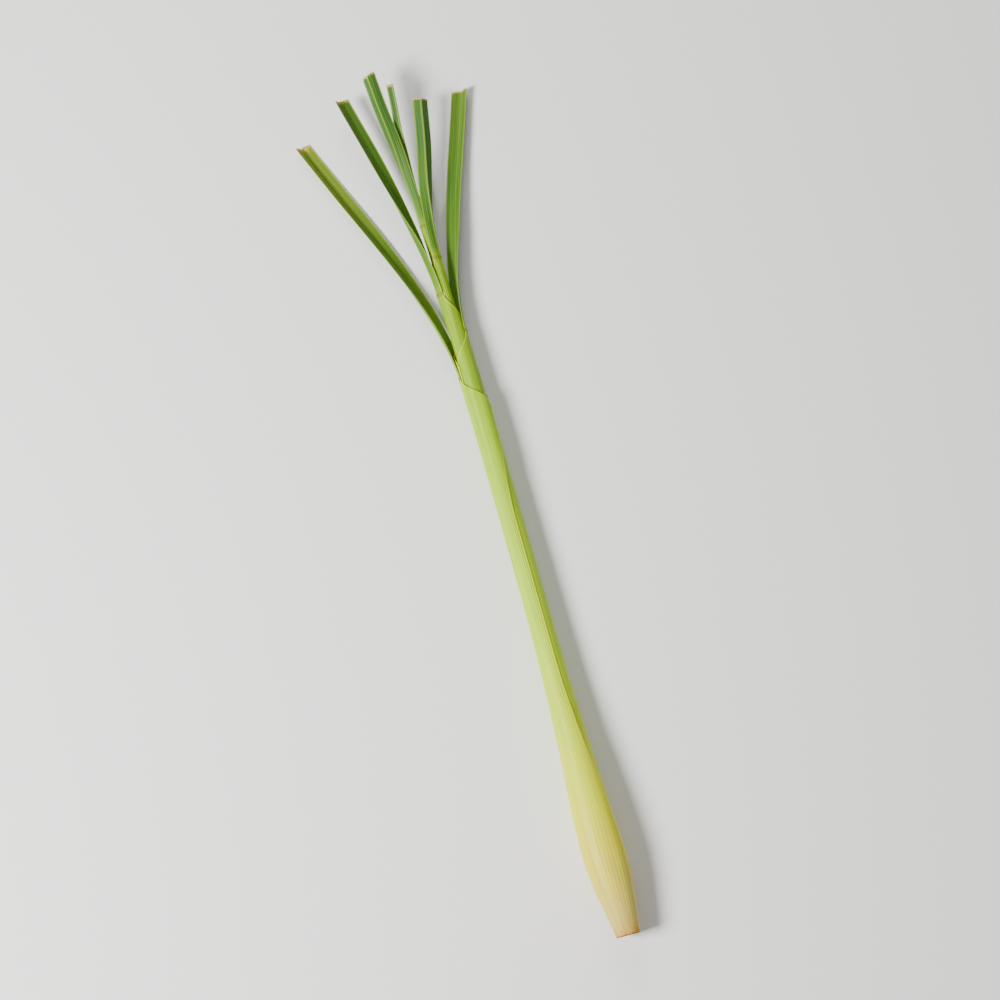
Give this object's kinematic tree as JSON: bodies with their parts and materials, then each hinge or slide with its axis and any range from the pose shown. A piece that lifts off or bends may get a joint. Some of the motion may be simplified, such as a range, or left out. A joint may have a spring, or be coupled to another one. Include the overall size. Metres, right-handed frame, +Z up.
{
  "type": "lemongrass stalk",
  "caption": "Cut lemongrass stalk lying on a surface: swollen pale foot, rolled leaf sheaths and a fan of trimmed green blades.",
  "frame": {"origin": "middle of the small flat spot under the bulb, on the surface that the stalk lies on", "axes": "+Z up, +Y along the stalk from the cut foot towards the blade tips, +X to the right seen from the foot"},
  "size_m": [0.0837, 0.4043, 0.021],
  "materials": {
    "stem_flesh": "matte pale plant flesh, cut across",
    "outer_leaf": "waxy satin leaf, cream at the foot, lime green above",
    "middle_leaf": "satin leaf with fine lengthwise veins",
    "inner_leaf": "satin leaf with fine lengthwise veins, a little bluish"
  },
  "bodies": {
    "root": {"stem_base": "stem_flesh", "leaf_1": "outer_leaf", "leaf_2": "middle_leaf", "leaf_3": "middle_leaf", "leaf_4": "inner_leaf", "leaf_5": "inner_leaf", "leaf_6": "inner_leaf"}
  },
  "joints": []
}
